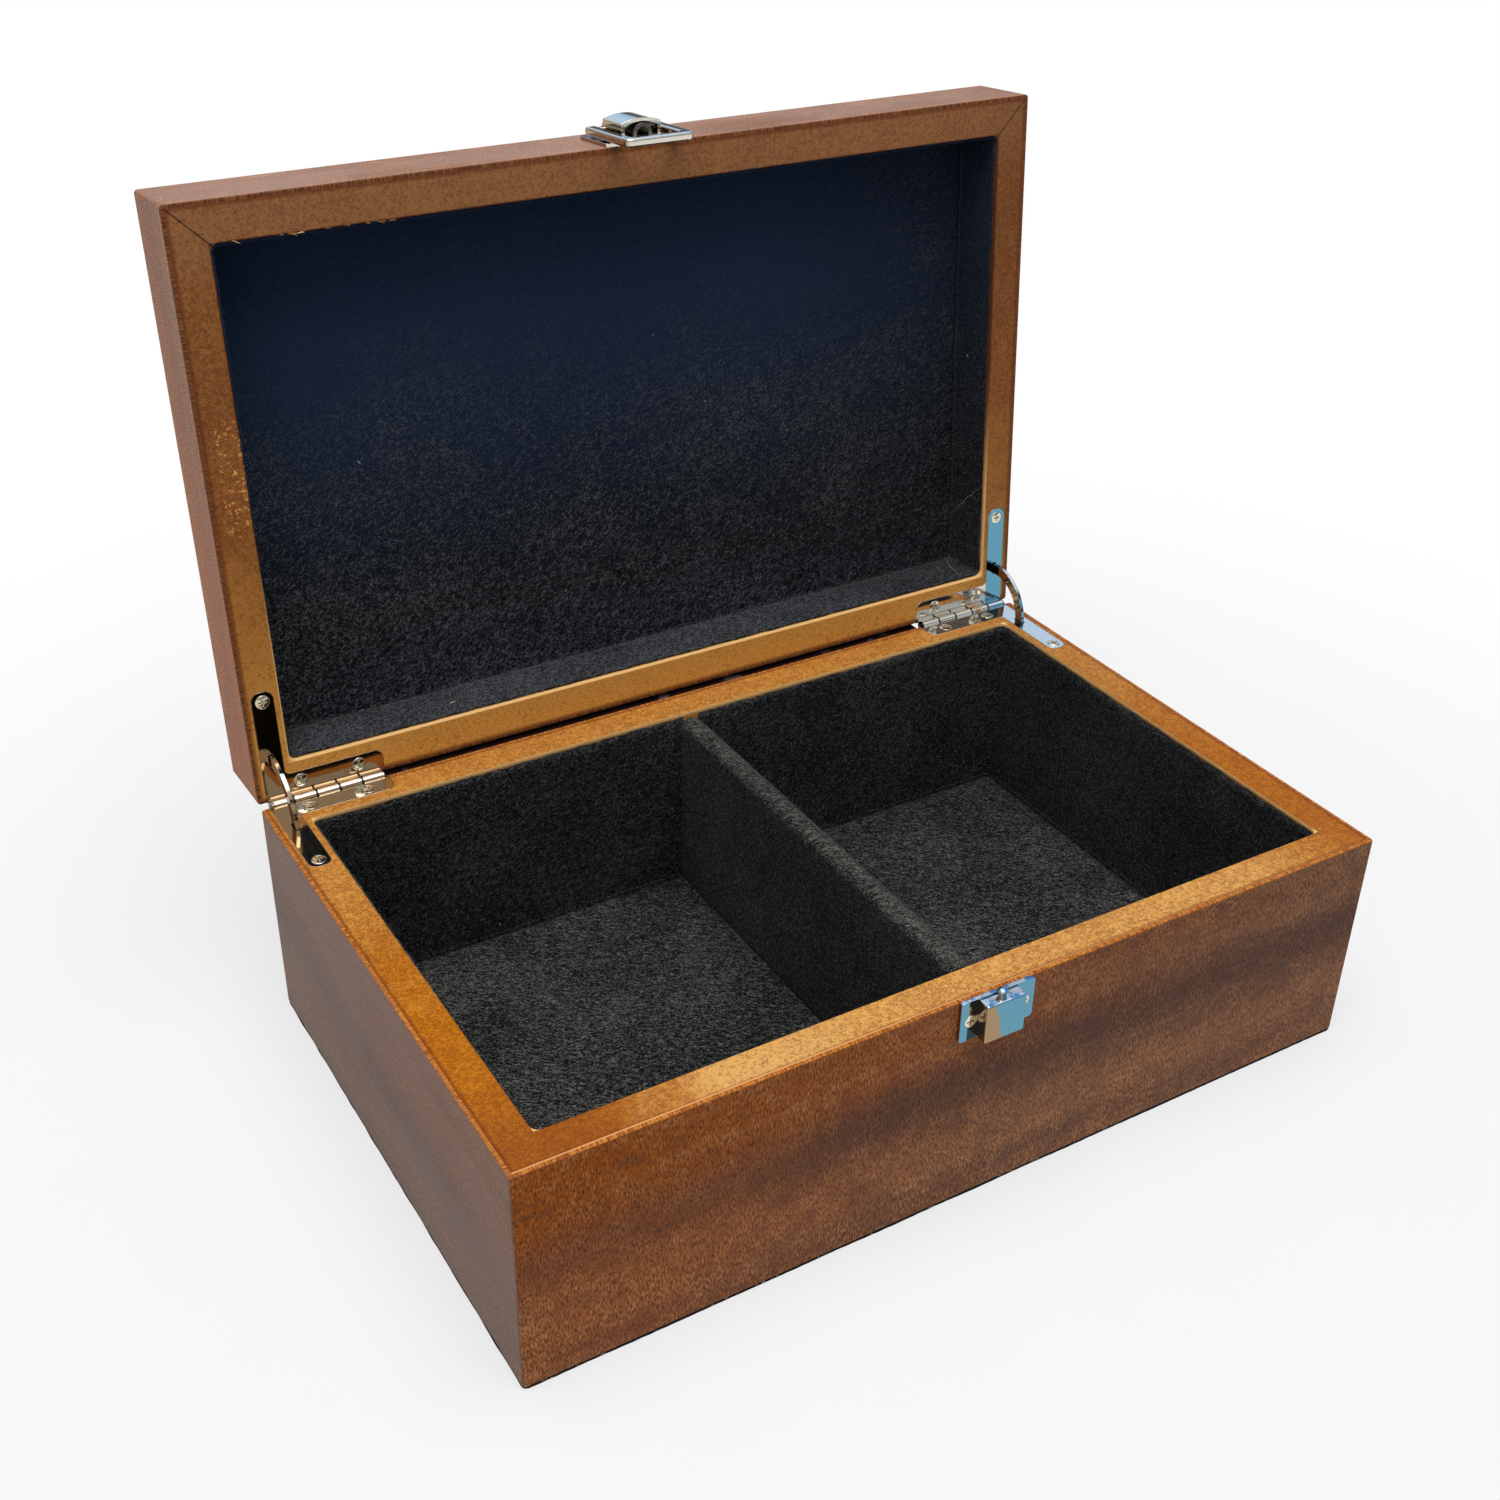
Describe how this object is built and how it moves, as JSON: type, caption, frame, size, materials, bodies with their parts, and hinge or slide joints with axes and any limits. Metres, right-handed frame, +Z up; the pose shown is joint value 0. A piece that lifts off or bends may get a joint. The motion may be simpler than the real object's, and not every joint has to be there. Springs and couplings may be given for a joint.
{
  "type": "chess box with hinged lid",
  "caption": "Felt-lined veneered wooden chess box with two compartments, a lid on stayed quadrant hinges and a ring-pull stud catch, shown open",
  "frame": {"origin": "centre of the underside of the base, on the surface the box stands on", "axes": "+Z up, -Y is the front with the catch, +X along the box's length; the lid stands open on its stops"},
  "size_m": [0.29, 0.23, 0.2638],
  "materials": {
    "stained_core": "satin",
    "mahogany_veneer": "satin lacquer",
    "black_felt": "flocked",
    "foot_cloth": "matte",
    "nickel": "polished",
    "nickel_screw": "polished",
    "spring_steel": "satin"
  },
  "bodies": {
    "base": {"base_floor_board": "stained_core", "base_foot_felt": "foot_cloth", "base_lining_left": "black_felt", "base_lining_right": "black_felt", "base_veneer_back": "mahogany_veneer", "base_veneer_front": "mahogany_veneer", "base_veneer_left": "mahogany_veneer", "base_veneer_right": "mahogany_veneer", "base_wall_back": "stained_core", "base_wall_front": "stained_core", "base_wall_left": "stained_core", "base_wall_right": "stained_core", "divider_board": "stained_core", "divider_felt": "black_felt", "hinge_base_leaf_left": "nickel", "hinge_base_leaf_right": "nickel", "hinge_base_screws_left": "nickel_screw", "hinge_base_screws_right": "nickel_screw", "hinge_pin_left": "nickel", "hinge_pin_right": "nickel", "keeper_block": "nickel", "keeper_plate": "nickel", "keeper_screws": "nickel_screw", "keeper_stud": "nickel"},
    "lid": {"hinge_lid_leaf_left": "nickel", "hinge_lid_leaf_right": "nickel", "hinge_lid_screws_left": "nickel_screw", "hinge_lid_screws_right": "nickel_screw", "latch_clip": "spring_steel", "latch_housing": "nickel", "latch_plate": "nickel", "latch_screws": "nickel_screw", "lid_lining": "black_felt", "lid_top_board": "stained_core", "lid_veneer_back": "mahogany_veneer", "lid_veneer_front": "mahogany_veneer", "lid_veneer_left": "mahogany_veneer", "lid_veneer_right": "mahogany_veneer", "lid_veneer_top": "mahogany_veneer", "lid_wall_back": "stained_core", "lid_wall_front": "stained_core", "lid_wall_left": "stained_core", "lid_wall_right": "stained_core"},
    "stay_left": {"hinge_stay_left": "nickel"},
    "stay_right": {"hinge_stay_right": "nickel"},
    "latch_pin": {"latch_pin": "nickel"},
    "pull_ring": {"latch_ring": "nickel"}
  },
  "joints": [
    {"name": "lid_hinge", "type": "hinge", "parent": "base", "child": "lid", "pos_m": [0, 0.0919, 0.0745], "axis": [1, 0, 0], "range_deg": [0, 94.5]},
    {"name": "stay_left_swing", "type": "hinge", "parent": "base", "child": "stay_left", "pos_m": [-0.1387, 0.0919, 0.0745], "axis": [1, 0, 0], "range_deg": [0, 47.25]},
    {"name": "stay_right_swing", "type": "hinge", "parent": "base", "child": "stay_right", "pos_m": [0.1387, 0.0919, 0.0745], "axis": [1, 0, 0], "range_deg": [0, 47.25]},
    {"name": "latch_pin_turn", "type": "hinge", "parent": "lid", "child": "latch_pin", "pos_m": [0, 0.1229, 0.25813], "axis": [-1, 0, 0], "range_deg": [0, 13.23]},
    {"name": "ring_swing", "type": "hinge", "parent": "latch_pin", "child": "pull_ring", "pos_m": [0, 0.1229, 0.25813], "axis": [-1, 0, 0], "range_deg": [0, 100]}
  ],
  "couplings": [
    {"joint": "stay_left_swing", "follows": "lid_hinge", "ratio": 0.5},
    {"joint": "stay_right_swing", "follows": "lid_hinge", "ratio": 0.5},
    {"joint": "latch_pin_turn", "follows": "lid_hinge", "ratio": 0.14}
  ]
}
